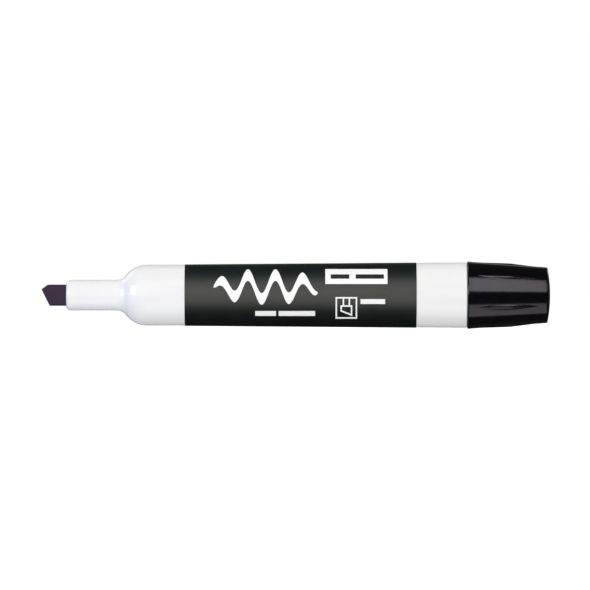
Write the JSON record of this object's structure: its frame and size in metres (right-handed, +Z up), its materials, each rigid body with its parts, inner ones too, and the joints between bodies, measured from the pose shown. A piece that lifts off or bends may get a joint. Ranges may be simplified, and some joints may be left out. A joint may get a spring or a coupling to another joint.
{
  "type": "whiteboard marker",
  "caption": "Chunky whiteboard marker with a chisel nib, stepped neck, tapered white barrel, black film label and a ribbed cap posted on its tail.",
  "frame": {"origin": "on the surface that the marker lies on, under the middle of its length", "axes": "+X along the marker from the nib to the cap, +Z up, the label's middle and the nib's broad face towards -Y"},
  "size_m": [0.137, 0.0182, 0.0182],
  "materials": {
    "barrel_plastic": "white moulded polypropylene, soft gloss",
    "inked_fibre": "bonded fibre soaked in black ink, purple-black",
    "reservoir_fibre": "bonded polyester fibre soaked in ink",
    "wrap_film": "thin clear-white plastic wrap",
    "plug_plastic": "white moulded polypropylene",
    "label_film": "black polypropylene film, satin gloss",
    "print_ink": "white screen-printed ink",
    "cap_plastic": "black moulded polypropylene, high gloss",
    "liner_plastic": "soft natural polyethylene"
  },
  "bodies": {
    "marker": {"barrel": "barrel_plastic", "nib": "inked_fibre", "reservoir_core": "reservoir_fibre", "reservoir_film": "wrap_film", "end_plug": "plug_plastic", "label_film": "label_film", "label_print": "print_ink"},
    "cap": {"cap_shell": "cap_plastic", "cap_liner": "liner_plastic"}
  },
  "joints": [
    {"name": "cap_pull", "type": "slide", "parent": "marker", "child": "cap", "axis": [1, 0, 0], "range_m": [0, 0.03]}
  ]
}
